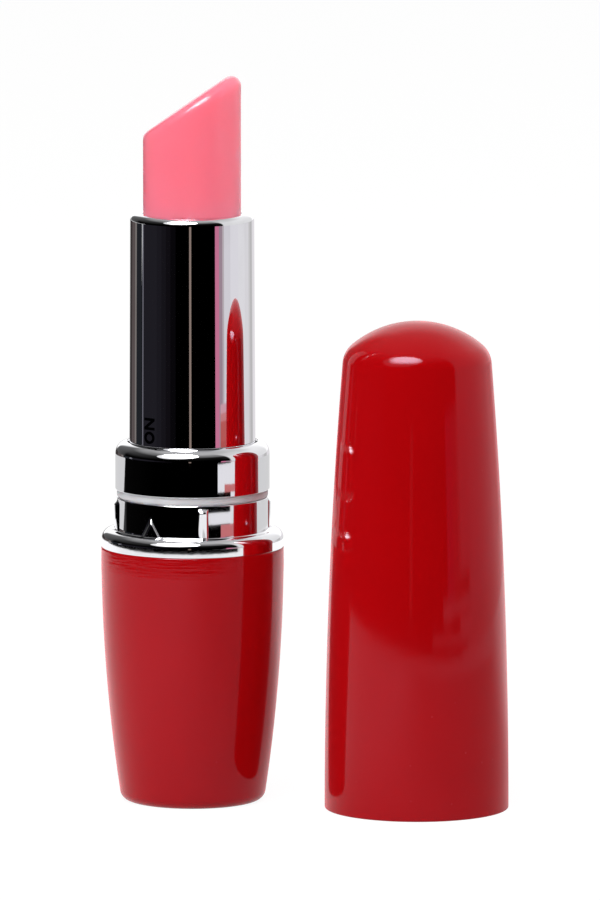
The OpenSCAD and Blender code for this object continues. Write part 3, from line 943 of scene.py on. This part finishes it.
class MASSAGER_OT_tube(PieceOperator):
    """Turns the chrome tube and sets the raised letters of the switch mark on it"""

    bl_idname = "massager.tube"
    bl_label = "Tube and switch mark"

    def make(self, size):
        foot = low("tube_sleeve")
        top = high("tube_sleeve")
        foot_r = reach("tube_sleeve")
        mouth_r = foot_r - size.tube_draft
        lip = top - size.lip_h
        mouth = size.stem_r + PLAY
        corners = [
            (size.tube_bore, foot, EASE),
            (foot_r, foot, 1.5 * EASE),
            (mouth_r, top - size.tube_edge),
            (mouth_r, top, size.tube_edge - HOLD),
            (mouth, top, 1.2 * EASE),
            (mouth, lip, EASE / 2),
            (size.tube_bore, lip, EASE / 2),
        ]
        outline = fillet(corners, facets=14)
        tube = lathe("chrome_tube", outline, chrome_plate(), even_angles(size.steps))
        stand(tube, "tube_unit", "chrome_plate", "tube_sleeve")
        self.mark(size, foot, foot_r, size.tube_draft / (top - size.tube_edge - foot))

    def mark(self, size, foot, foot_r, slope):
        """The word on the tube, which reads upward. The tube's side leans in by slope."""
        start = high("upper_collar") + size.mark_foot
        half = size.mark_l / 2
        first_length, shift = 0.95 * half, 1.08 * half  # the second letter starts at shift
        strips = 9  # across the letters, which bend round the tube
        work = bmesh.new()
        loops = letter_o(first_length, size.mark_h, size.mark_stroke)
        outer, inner = [[work.verts.new((*point, 0)) for point in loop] for loop in loops]
        for index in range(len(outer)):
            work.faces.new((outer[index - 1], outer[index], inner[index], inner[index - 1]))
        corners = letter_n(size.mark_l - shift, size.mark_h, size.mark_stroke)
        work.faces.new([work.verts.new((shift + along, up, 0)) for along, up in corners])
        for step in range(1, strips):
            bmesh.ops.bisect_plane(
                work,
                geom=work.verts[:] + work.edges[:] + work.faces[:],
                plane_co=(0, size.mark_h * step / strips, 0),
                plane_no=(0, 1, 0),
            )
        raised = bmesh.ops.extrude_face_region(work, geom=work.faces[:])
        for item in raised["geom"]:
            if isinstance(item, bmesh.types.BMVert):
                item.co.z = 1
        for vertex in work.verts:
            along, up, lifted = vertex.co
            height = start + along
            side = foot_r - slope * (height - foot)
            out = side + size.mark_relief * (1 if lifted else -1)
            turn = size.mark_angle - (up - size.mark_h / 2) / out
            vertex.co = around(turn, out, height)
        bmesh.ops.recalc_face_normals(work, faces=work.faces)
        mesh = bpy.data.meshes.new("switch_mark")
        work.to_mesh(mesh)
        work.free()
        piece = placed(mesh, switch_paint())
        soften = piece.modifiers.new("soft_edges", "BEVEL")
        soften.width = 0.15 * EASE
        soften.segments = 2
        soften.limit_method = "ANGLE"
        soften.angle_limit = radians(50)
        stand(piece, "tube_unit", "black_plastic")


class MASSAGER_OT_soft_tip(PieceOperator):
    """Forms the soft tip: a stem, a slanted face and a rounding that rolls round its edge"""

    bl_idname = "massager.soft_tip"
    bl_label = "Soft tip"

    def make(self, size):
        stem_r = size.stem_r
        edge = size.tip_edge
        slope = tan(size.tip_slant)
        inner = stem_r - edge
        foot = low("soft_tip")
        lip = high("tube_sleeve")
        middle_height = high("soft_tip") - edge - inner * slope
        uphill = Vector((cos(size.tip_turn), sin(size.tip_turn), 0))
        face = Vector((0, 0, cos(size.tip_slant))) - uphill * sin(size.tip_slant)
        outs = [around(turn, 1) for turn in even_angles(size.steps)]
        hollow = EASE / 2  # how far the slanted face dips in its middle
        rows, bends, fills = 26, 12, 14

        def at(height):
            return Vector((0, 0, height))

        def rim(out):
            """From the middle of the slanted face out to the start of its rounding."""
            return out * inner + at(out.dot(uphill) * inner * slope)

        def ball(out):
            """The middle of the ball that rolls round the edge."""
            return rim(out) + at(middle_height)

        flange_r = size.tube_bore - PLAY
        flange_top = lip - size.lip_h - PLAY
        profile = [
            (flange_r - 2 * EASE, foot),
            (flange_r, foot + 2 * EASE),
            (flange_r, flange_top - 2 * EASE),
            (flange_r - EASE, flange_top),
            (stem_r, flange_top + HOLD),
            (stem_r, lip - 3 * EASE),
        ]
        rings = [[out * radius + at(height) for out in outs] for radius, height in profile]
        for share in evenly(0, 1, rows)[:-1]:
            rings.append([out * stem_r + at(lip + (ball(out).z - HOLD - lip) * share) for out in outs])
        for share in evenly(0, 1, bends):
            rings.append([ball(out) + edge * out.slerp(face, share) for out in outs])
        hub = at(middle_height) + edge * face
        for step in evenly(0, 1, fills)[:-1]:
            share = (1 - HOLD / inner) * (1 - step**1.2)
            dish = -hollow * smooth(2.5 * (1 - share))
            rings.append([hub + rim(out) * share + face * dish for out in outs])
        vertices = [vertex for ring in rings for vertex in ring]
        faces = between_rows(len(rings), size.steps)
        for row, pole in ((0, at(foot)), (len(rings) - 1, hub - face * hollow)):
            faces.extend(fan(row * size.steps, size.steps, len(vertices)))
            vertices.append(pole)
        tip = face_outward(new_piece("pink_tip", vertices, faces, soft_skin()))
        stand(tip, "tube_unit", "pink_soft", "soft_tip")


class MASSAGER_OT_chassis(PieceOperator):
    """Forms the inner body of the tube unit, with the male screw thread on its skirt"""

    bl_idname = "massager.chassis"
    bl_label = "Chassis"

    def make(self, size):
        foot = low("chassis")
        top = high("chassis")
        shoulder = high("seal_ring")
        crest = reach("chassis")
        root = crest - size.thread_h
        body = reach("tip_core")
        bore = reach("contact_ring")
        cell = reach("battery_can") + 5 * PLAY
        step = high("contact_ring")
        rows, sides = 120, 192

        def thread(turn, radius, height):
            if abs(radius - root) > HOLD:
                return 0
            crest = ridge(turn, height, foot, size.pitch, steep=6, flat=0.9)
            return size.thread_h * crest * fade(height, foot + 3 * EASE, shoulder - 9 * EASE)

        corners = [
            (bore, foot, 1.5 * EASE),
            (root, foot, 1.5 * EASE),
            *[(root, height) for height in evenly(foot + 3 * EASE, shoulder - 6 * EASE, rows)],
            (crest, shoulder - 5 * EASE),
            (crest, shoulder, 1.2 * EASE),
            (body, shoulder),
            (body, top, 2 * EASE),
            (cell, top, 1.5 * EASE),
            (cell, step),
            (bore, step),
        ]
        plastic = inner_moulding("chassis_plastic", tuple(finishes().ivory), 0.42)
        angles = even_angles(sides)
        piece = lathe("threaded_chassis", fillet(corners), plastic, angles, shape=thread)
        stand(piece, "tube_unit", "white_plastic", "chassis")


class MASSAGER_OT_cell(PieceOperator):
    """Turns the battery cell: its wrapped can with crimped ends, its nub and its insulating ring"""

    bl_idname = "massager.cell"
    bl_label = "Battery cell"

    def make(self, size):
        radius = reach("battery_can")
        foot = low("battery_can")
        top = high("battery_can")
        ring_r = reach("battery_insulator")
        seat = low("battery_insulator")
        nub = reach("battery_terminal")
        crown = high("battery_terminal")
        crimp = 5 * EASE
        dent = 1.5 * EASE
        can_sides, nub_sides = 160, 96
        corners = [
            (0, foot + dent),
            (radius * 0.62, foot + dent, 2 * EASE),
            (radius * 0.7, foot, EASE),
            (radius, foot, crimp),
            (radius, top, crimp),
            (ring_r + PLAY, top, EASE / 2),
            (ring_r + PLAY, seat),
            (0, seat),
        ]
        can = lathe("cell_can", fillet(corners), cell_wrap(foot, top), even_angles(can_sides))
        stand(can, "cell", "cell_wrap", "battery_can")
        corners = [
            (0, seat),
            (nub, seat, EASE / 2),
            (nub, crown, 3 * EASE),
            (nub * 0.5, crown, 3 * EASE),
            (0, crown - PLAY),
        ]
        steel = plain_metal("cell_steel", tuple(finishes().steel), 0.22, True)
        terminal = lathe("cell_nub", fillet(corners), steel, even_angles(nub_sides))
        stand(terminal, "cell", "spring_steel", "battery_terminal")
        inside = nub + PLAY
        edge = 0.8 * EASE
        corners = [(inside, seat), (ring_r, seat), (ring_r, top, edge), (inside, top, edge)]
        board = inner_moulding("insulator_board", tuple(finishes().ivory), 0.6)
        ring = lathe("cell_ring", fillet(corners, facets=4), board, even_angles(nub_sides))
        stand(ring, "cell", "white_plastic", "battery_insulator")


class MASSAGER_OT_spring(PieceOperator):
    """Winds the conical spring, which reaches from the base to the cell"""

    bl_idname = "massager.spring"
    bl_label = "Conical spring"

    def make(self, size):
        wire = size.wire
        foot = low("negative_spring") + wire
        head = high("negative_spring") - wire
        per_turn, sides = 72, 14
        steps = int(size.turns * per_turn)
        rolls = even_angles(sides)
        vertices = []
        for share in evenly(0, 1, steps):
            turn = size.turns * tau * share
            out = size.spring_wide + (size.spring_narrow - size.spring_wide) * share
            height = foot + (head - foot) * share
            for roll in rolls:
                away = out + wire * cos(roll)
                rise = height + wire * sin(roll)
                vertices.append(Vector((away * cos(turn), away * sin(turn), rise)))
        faces = between_rows(steps + 1, sides)
        faces.append(tuple(reversed(range(sides))))
        faces.append(tuple(range(steps * sides, (steps + 1) * sides)))
        steel = plain_metal("spring_wire", tuple(finishes().steel), 0.2, False)
        spring = face_outward(new_piece("cone_spring", vertices, faces, steel))
        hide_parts("negative_spring")
        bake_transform(spring)


class MASSAGER_OT_inner_parts(bpy.types.Operator):
    """Gives the inner pieces that the frame carries their own finishes"""

    bl_idname = "massager.inner_parts"
    bl_label = "Inner parts"

    def execute(self, context):
        look = context.scene.massager_finish
        ivory, steel, brass = tuple(look.ivory), tuple(look.steel), tuple(look.brass)
        coats = {
            "battery_sleeve": inner_moulding("sleeve_plastic", ivory, 0.45),
            "tip_core": inner_moulding("core_plastic", ivory, 0.45),
            "motor_end_bell": inner_moulding("bell_plastic", (0.02, 0.02, 0.022), 0.4),
            "negative_contact": plain_metal("contact_plate", steel, 0.25, False),
            "motor_can": plain_metal("motor_shell", steel, 0.24, True),
            "motor_shaft": plain_metal("shaft_steel", steel, 0.16, True),
            "eccentric_weight": plain_metal("sintered_weight", (0.33, 0.32, 0.31), 0.42, False),
            "contact_ring": plain_metal("ring_brass", brass, 0.22, True),
            "negative_lead": plain_metal("lead_brass", brass, 0.26, False),
            "positive_contact": plain_metal("disc_brass", brass, 0.24, True),
            "contact_rivet": plain_metal("rivet_brass", brass, 0.24, True),
            "motor_terminals": plain_metal("tab_brass", brass, 0.26, False),
            "motor_bush": plain_metal("bush_brass", brass, 0.3, True),
        }
        for node, coat in coats.items():
            slots = NODES[node].material_slots
            if not slots:
                raise RuntimeError(f"{node} has no material slot")
            for place in slots:
                place.material = coat
        return {"FINISHED"}


# ---- Stage ----


# What stands round the stage at the object's height, as (from, to, brightness of red, green, blue)
SURROUND = [
    (-180, -165, (0.5, 0.5, 0.5)),
    (-165, -146, (0.045, 0.037, 0.037)),
    (-146, -140, (0.11, 0.09, 0.09)),
    (-140, -130.5, (0.105, 0.085, 0.083)),
    (-130.5, -124, (0.21, 0.19, 0.18)),
    (-124, -106, (0.016, 0.018, 0.022)),
    (-104.2, -100.6, (0.145, 0.142, 0.17)),
    (-100, -68, (0.0145, 0.0135, 0.018)),
    (-68, -58, (0.012, 0.011, 0.015)),
    (-58, -49, (0.009, 0.008, 0.011)),
    (-49, -40, (0.006, 0.005, 0.007)),
    (-40, -30, (0.003, 0.0025, 0.0035)),
    (-5, -1.3, (0.27, 0.205, 0.175)),
    (43, 51, (0.62, 0.19, 0.32)),
    (51, 57.5, (0.37, 0.265, 0.32)),
    (57.5, 61, (0.52, 0.46, 0.49)),
    (61, 75, (0.72, 0.7, 0.74)),
    (75, 95, (0.79, 0.775, 0.81)),
    (95, 114, (0.81, 0.8, 0.82)),
    (114, 128, (0.77, 0.755, 0.775)),
    (128, 134, (0.67, 0.66, 0.66)),
    (134, 146, (0.55, 0.54, 0.54)),
    (146, 180, (0.8, 0.78, 0.8)),
]

# Low upright cards that only the gloss shows: two angles, radius, foot and top in mm, and colour. The
# reddish and salmon ones are painted red light thrown by the cap
LOW_CARDS = [
    (25, 62, 240, 2.5, 4.2, (0.85, 0.84, 0.87)),
    (61.4, 75, 240, 4.3, 5.0, (0.85, 0.84, 0.87)),
    # This card and the one from 48.6 degrees are painted reflection: red light that the cap throws
    # onto the white stage
    (43.6, 68, 240, 0.3, 2.4, (0.6, 0.18, 0.19)),
    (38, 73, 240, 7.1, 11.2, (0.85, 0.84, 0.87)),
    (48.6, 73, 239, 7.2, 8.3, (0.6, 0.18, 0.18)),
    (58.6, 75, 240, 5.0, 7.1, (0.85, 0.84, 0.87)),
    # These four salmon cards are painted red light that the cap throws onto the white card behind it
    (53, 72.6, 329, 0.0, 4.5, (0.491, 0.098, 0.089)),
    (53, 72.6, 329, 4.5, 7.4, (0.53, 0.114, 0.106)),
    (53, 72.6, 329, 7.4, 8.6, (0.615, 0.228, 0.237)),
    (53, 72.6, 329, 8.6, 9.9, (0.66, 0.364, 0.42)),
]

# What the gloss shows above the floor, at four heights: angles from the front, and greys
ROOM = [
    (
        8,
        (
            (-180, 1.3), (-164, 1.3), (-160, 0.12), (-126, 0.05), (-120, 0.002),
            (-60, 0), (59, 0), (61, 0.8), (148, 0.85), (160, 1.3), (180, 1.3),
        ),
    ),
    (
        34,
        (
            (-180, 1.0), (-166, 0.95), (-155, 0.15), (-130, 0.09), (-112, 0.05),
            (-90, 0.03), (-66, 0.018), (-50, 0.008), (46, 0.006), (59, 0.02),
            (62, 0.8), (180, 1.0),
        ),
    ),
    (
        54,
        (
            (-180, 0.55), (-152, 0.4), (-120, 0.3), (-96, 0.22), (-68, 0.18),
            (2, 0.2), (57, 0.24), (62, 0.6), (80, 0.7), (110, 0.7), (160, 0.55), (180, 0.55),
        ),
    ),
    (74, ((-180, 0.5), (180, 0.5))),
]


def direction(turn, up):
    """The way from the object to a place turned from the front and raised, in degrees."""
    turn, up = radians(turn), radians(up)
    return Vector((cos(up) * sin(turn), -cos(up) * cos(turn), sin(up)))


def arc_points(start, end, radius, height):
    """Points along an arc between two angles from the front, in degrees."""
    steps = max(2, int((end - start) / 4))
    return [around(turn, radius, height) for turn in evenly(radians(start), radians(end), steps)]


def gloss_only(piece):
    """A stage piece that nothing but a glossy surface shows."""
    piece.visible_camera = False
    piece.visible_diffuse = False
    piece.visible_shadow = False
    piece.visible_transmission = False


class MASSAGER_OT_stage(bpy.types.Operator):
    """Sets the floor, the light and the camera"""

    bl_idname = "massager.stage"
    bl_label = "Floor, light and camera"

    def execute(self, context):
        scene = context.scene
        scene.view_settings.view_transform = "Standard"
        setup = scene.massager_studio
        self.camera(scene, setup)
        self.floor(setup)
        self.cards(setup)
        self.lamps(scene, setup)
        self.softbox(setup)
        self.world(scene, setup)
        return {"FINISHED"}

    def camera(self, scene, setup):
        lens = bpy.data.cameras.new("camera")
        lens.lens = setup.lens
        lens.clip_end = 20  # metres
        view = bpy.data.objects.new("camera", lens)
        scene.collection.objects.link(view)
        away = Vector((0, -cos(setup.elevation), sin(setup.elevation)))
        view.location = Vector(setup.aim) + away * setup.distance
        view.rotation_euler = (-away).to_track_quat("-Z", "Y").to_euler()
        scene.camera = view

    def floor(self, setup):
        """A white floor with a round front, whose edge shows only in the gloss."""
        far = setup.floor_far
        trim = 1.5 * MM  # the left of the round front lies a little nearer
        turns = [radians(turn) for turn in range(-132, 63, 2)]
        corners = [around(turn, setup.floor_near - trim * smooth(-turn / 2)) for turn in turns]
        corners += [(far, corners[-1].y, 0), (far, far, 0), (-far, far, 0), (-far, corners[0].y, 0)]
        sheet = Finish("floor_paper")
        grain = sheet.noise(900)
        paper = sheet.put("ShaderNodeBsdfDiffuse", {"Color": sheet.blend(0.86, 0.82, grain)})
        mirrored = sheet.ray("Glossy")
        # In the gloss the floor is lighter on the left and darker on the right, painted light and
        # shade from the main light on the left, and has a grey rim round its front
        out = sheet.put("ShaderNodeVectorMath", {0: sheet.where}, "Value", operation="LENGTH")
        falling = sheet.axis("X").rise(-50 * MM, 60 * MM)
        behind = sheet.axis("Y").rise(20 * MM, 110 * MM)
        lit = sheet.blend(sheet.blend(1.12, 0.52, falling), 1.1, behind)
        rim = sheet.blend(lit, 0.93, out.rise(198 * MM, 202 * MM) - behind)
        tone = sheet.blend(rim, 0.66, out.rise(236 * MM, 244 * MM))
        glow = sheet.glow(sheet.blend(1, tone, mirrored), 1.07)
        share = (sheet.ray("Camera") + mirrored + sheet.ray("Transmission")) * 0.88
        sheet.end(sheet.put("ShaderNodeMixShader", {0: share, 1: paper, 2: glow}))
        new_piece("floor", corners, [tuple(range(len(corners)))], sheet.material)

    def cards(self, setup):
        """Upright cards round the stage, which only the gloss shows."""
        place = (setup.card_away / MM, 0, setup.card_high / MM)
        strips = [(start, end, *place, shade) for start, end, shade in SURROUND]
        for number, (start, end, away, foot, top, shade) in enumerate(strips + LOW_CARDS):
            below = arc_points(start, end, away * MM, foot * MM)
            above = arc_points(start, end, away * MM, top * MM)
            self.card(f"card_{number}", below, above, shade)

    def card(self, name, first, second, shade):
        """A glowing strip between two rows of points."""
        count = len(first)
        faces = [(step, step + 1, step + count + 1, step + count) for step in range(count - 1)]
        sheet = Finish(name)
        sheet.end(sheet.glow(shade))
        gloss_only(new_piece(name, first + second, faces, sheet.material))

    def lamps(self, scene, setup):
        """A soft main light, three broad ones, and a narrow one on the tip."""
        aim = Vector((12 * MM, 0, 45 * MM))
        # Power, angle from the front and angle up in degrees, distance, width and height in metres
        panels = {
            "key": (setup.key, -24, 55, 0.5, 0.3, 0.2),
            "fill_left": (setup.fill, -70, 18, 0.8, 0.6, 0.6),
            "fill_right": (setup.fill * 0.06, 75, 15, 0.8, 0.6, 0.6),
            "rear": (setup.fill * 1.3, 125, 55, 0.8, 0.5, 0.5),
        }
        for name, (power, turn, up, away, wide, tall) in panels.items():
            panel = bpy.data.lights.new(name, "AREA")
            panel.shape = "RECTANGLE"
            panel.size = wide
            panel.size_y = tall
            panel.energy = power
            self.hang(scene, panel, aim, direction(turn, up), away)
        snoot = bpy.data.lights.new("tip_light", "SPOT")
        snoot.energy = setup.snoot
        snoot.spot_size = radians(3.6)
        snoot.spot_blend = 0.7
        snoot.shadow_soft_size = 0.04
        aim = middle("soft_tip", high("tube_sleeve") + 8 * MM)
        self.hang(scene, snoot, aim, direction(62, 4), 0.8)

    def hang(self, scene, light, aim, toward, away):
        """Hangs a light at a distance from the point that it shines at, unseen in the gloss."""
        lamp = bpy.data.objects.new(light.name, light)
        scene.collection.objects.link(lamp)
        lamp.location = aim + toward * away
        lamp.rotation_euler = toward.to_track_quat("Z", "Y").to_euler()
        lamp.visible_glossy = False

    def softbox(self, setup):
        """The bright cloth of the main light, soft at its edge, which only the gloss shows."""
        half_w, half_h = 0.6, 0.56  # metres
        corners = [(half_w * x, half_h * y, 0) for x, y in ((-1, -1), (1, -1), (1, 1), (-1, 1))]
        sheet = Finish("softbox_cloth")
        across = sheet.axis("X") / half_w
        up = sheet.axis("Y") / half_h
        off_middle = across - 0.25
        off_level = up - 0.3
        middle_share = (1 - off_middle * off_middle) * (1 - off_level * off_level)
        glow = sheet.glow(sheet.blend(1, setup.cloth, middle_share.rise(0.2, 0.9)))
        clear = sheet.put("ShaderNodeBsdfTransparent")
        lens = 1 - across * across - (up * up) ** 0.8
        share = lens.rise(0, 0.14) * up.rise(-1.0, -0.72)
        sheet.end(sheet.put("ShaderNodeMixShader", {0: share, 1: clear, 2: glow}))
        cloth = new_piece("softbox", corners, [(0, 1, 2, 3)], sheet.material)
        cloth.location = Vector((0, 0, 45 * MM)) + direction(-35, 49.5) * 1.123
        cloth.rotation_euler = direction(-9.5, 28.5).to_track_quat("Z", "Y").to_euler()
        gloss_only(cloth)

    def world(self, scene, setup):
        """White where the camera looks, an even grey for soft light, and a dim room in the gloss."""
        world = bpy.data.worlds.new("studio")
        world.use_nodes = True
        scene.world = world
        sheet = Sheet(world.node_tree, "Generated")
        up = sheet.axis("Z")
        level = {0: sheet.axis("X"), 1: sheet.axis("Y") * -1}
        round_share = sheet.put("ShaderNodeMath", level, operation="ARCTAN2") / tau + 0.5
        bands = []
        for _, ring in ROOM:
            stops = [((turn + 180) / 360, (grey,) * 3) for turn, grey in ring]
            bands.append(sheet.put("ShaderNodeValToRGB", {"Fac": round_share}, "Color", stops=stops))
        shade = bands[0]
        for lower, upper, band in zip(ROOM, ROOM[1:], bands[1:]):
            climb = up.rise(sin(radians(lower[0])), sin(radians(upper[0])))
            shade = sheet.blend(shade, band, climb)
        unseen = sheet.blend(setup.ambient, shade, sheet.ray("Glossy"))
        tone = sheet.blend(unseen, 1, sheet.ray("Camera") + sheet.ray("Transmission"))
        sheet.end(sheet.put("ShaderNodeBackground", {"Color": tone, "Strength": 1.0}), "World")


# ---- The panel and the run ----

PIECES = (
    MASSAGER_OT_base_cup,
    MASSAGER_OT_cap,
    MASSAGER_OT_lower_collar,
    MASSAGER_OT_seal_ring,
    MASSAGER_OT_upper_collar,
    MASSAGER_OT_tube,
    MASSAGER_OT_soft_tip,
    MASSAGER_OT_chassis,
    MASSAGER_OT_cell,
    MASSAGER_OT_spring,
    MASSAGER_OT_inner_parts,
    MASSAGER_OT_stage,
)


class MASSAGER_PT_panel(bpy.types.Panel):
    """Lists the sizes, the finishes and the operators"""

    bl_label = "Massager"
    bl_idname = "MASSAGER_PT_panel"
    bl_space_type = "VIEW_3D"
    bl_region_type = "UI"
    bl_category = "Massager"

    def draw(self, context):
        scene = context.scene
        for group in (scene.massager_form, scene.massager_finish, scene.massager_studio):
            box = self.layout.box()
            for name in group.bl_rna.properties.keys():
                if name not in {"rna_type", "name"}:
                    box.prop(group, name)
        for piece in PIECES:
            self.layout.operator(piece.bl_idname)


GROUPS = {
    "massager_form": MassagerForm,
    "massager_finish": MassagerFinish,
    "massager_studio": MassagerStudio,
}


def register():
    for group in GROUPS.values():
        bpy.utils.register_class(group)
    for name, group in GROUPS.items():
        setattr(bpy.types.Scene, name, PointerProperty(type=group))
    for item in (*PIECES, MASSAGER_PT_panel):
        bpy.utils.register_class(item)


def unregister():
    for item in (MASSAGER_PT_panel, *reversed(PIECES)):
        bpy.utils.unregister_class(item)
    for name, group in GROUPS.items():
        delattr(bpy.types.Scene, name)
        bpy.utils.unregister_class(group)


def main():
    register()
    for piece in PIECES:
        group, name = piece.bl_idname.split(".")
        getattr(getattr(bpy.ops, group), name)()


if __name__ == "__main__":
    main()
